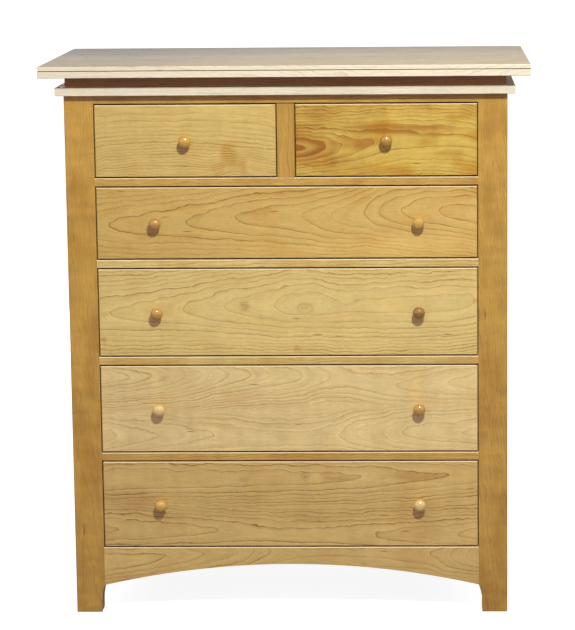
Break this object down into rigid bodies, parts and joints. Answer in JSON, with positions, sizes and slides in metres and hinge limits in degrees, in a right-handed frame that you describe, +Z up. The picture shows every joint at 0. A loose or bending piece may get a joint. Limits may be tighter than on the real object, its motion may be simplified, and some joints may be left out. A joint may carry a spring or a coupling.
{
  "type": "chest of drawers",
  "caption": "Tall wooden chest of drawers with posts that run down as feet, arched apron, stepped floating top and turned knobs; every drawer slides out on wooden runners.",
  "frame": {"origin": "on the floor, below the middle of the top board", "axes": "+Z up, +Y to the back, +X to the right as seen from the front"},
  "size_m": [1.118, 0.564, 1.295],
  "materials": {
    "cherry_case": "clear satin lacquer",
    "cherry_top": "clear satin lacquer",
    "cherry_fronts": "clear satin lacquer",
    "cherry_knobs": "clear satin lacquer",
    "maple_inside": "planed, unfinished",
    "drawer_bottom_plywood": "sanded plywood",
    "back_plywood": "sanded plywood",
    "screw_steel": "zinc plated"
  },
  "bodies": {
    "case": {"top_board": "cherry_top", "neck_frame": "cherry_case", "cornice_frame": "cherry_case", "top_screws": "screw_steel", "front_left_post": "cherry_case", "front_right_post": "cherry_case", "rear_left_post": "cherry_case", "rear_right_post": "cherry_case", "left_side_top_rail": "cherry_case", "left_side_bottom_rail": "cherry_case", "left_side_panel": "cherry_case", "right_side_top_rail": "cherry_case", "right_side_bottom_rail": "cherry_case", "right_side_panel": "cherry_case", "top_rail": "cherry_case", "centre_divider": "cherry_case", "drawer_rail_1": "cherry_case", "drawer_rail_2": "cherry_case", "drawer_rail_3": "cherry_case", "drawer_rail_4": "cherry_case", "apron": "cherry_case", "back_panel": "back_plywood", "rear_rails": "maple_inside", "drawer_supports": "maple_inside"},
    "top_left_drawer": {"top_left_drawer_front": "cherry_fronts", "top_left_drawer_left_side": "maple_inside", "top_left_drawer_right_side": "maple_inside", "top_left_drawer_back": "maple_inside", "top_left_drawer_bottom": "drawer_bottom_plywood", "top_left_drawer_knob": "cherry_knobs"},
    "top_right_drawer": {"top_right_drawer_front": "cherry_fronts", "top_right_drawer_left_side": "maple_inside", "top_right_drawer_right_side": "maple_inside", "top_right_drawer_back": "maple_inside", "top_right_drawer_bottom": "drawer_bottom_plywood", "top_right_drawer_knob": "cherry_knobs"},
    "second_drawer": {"second_drawer_front": "cherry_fronts", "second_drawer_left_side": "maple_inside", "second_drawer_right_side": "maple_inside", "second_drawer_back": "maple_inside", "second_drawer_bottom": "drawer_bottom_plywood", "second_drawer_knobs": "cherry_knobs"},
    "third_drawer": {"third_drawer_front": "cherry_fronts", "third_drawer_left_side": "maple_inside", "third_drawer_right_side": "maple_inside", "third_drawer_back": "maple_inside", "third_drawer_bottom": "drawer_bottom_plywood", "third_drawer_knobs": "cherry_knobs"},
    "fourth_drawer": {"fourth_drawer_front": "cherry_fronts", "fourth_drawer_left_side": "maple_inside", "fourth_drawer_right_side": "maple_inside", "fourth_drawer_back": "maple_inside", "fourth_drawer_bottom": "drawer_bottom_plywood", "fourth_drawer_knobs": "cherry_knobs"},
    "bottom_drawer": {"bottom_drawer_front": "cherry_fronts", "bottom_drawer_left_side": "maple_inside", "bottom_drawer_right_side": "maple_inside", "bottom_drawer_back": "maple_inside", "bottom_drawer_bottom": "drawer_bottom_plywood", "bottom_drawer_knobs": "cherry_knobs"}
  },
  "joints": [
    {"name": "top_left_drawer_slide", "type": "slide", "parent": "case", "child": "top_left_drawer", "axis": [0, -1, 0], "range_m": [0, 0.36]},
    {"name": "top_right_drawer_slide", "type": "slide", "parent": "case", "child": "top_right_drawer", "axis": [0, -1, 0], "range_m": [0, 0.36]},
    {"name": "second_drawer_slide", "type": "slide", "parent": "case", "child": "second_drawer", "axis": [0, -1, 0], "range_m": [0, 0.36]},
    {"name": "third_drawer_slide", "type": "slide", "parent": "case", "child": "third_drawer", "axis": [0, -1, 0], "range_m": [0, 0.36]},
    {"name": "fourth_drawer_slide", "type": "slide", "parent": "case", "child": "fourth_drawer", "axis": [0, -1, 0], "range_m": [0, 0.36]},
    {"name": "bottom_drawer_slide", "type": "slide", "parent": "case", "child": "bottom_drawer", "axis": [0, -1, 0], "range_m": [0, 0.36]}
  ]
}
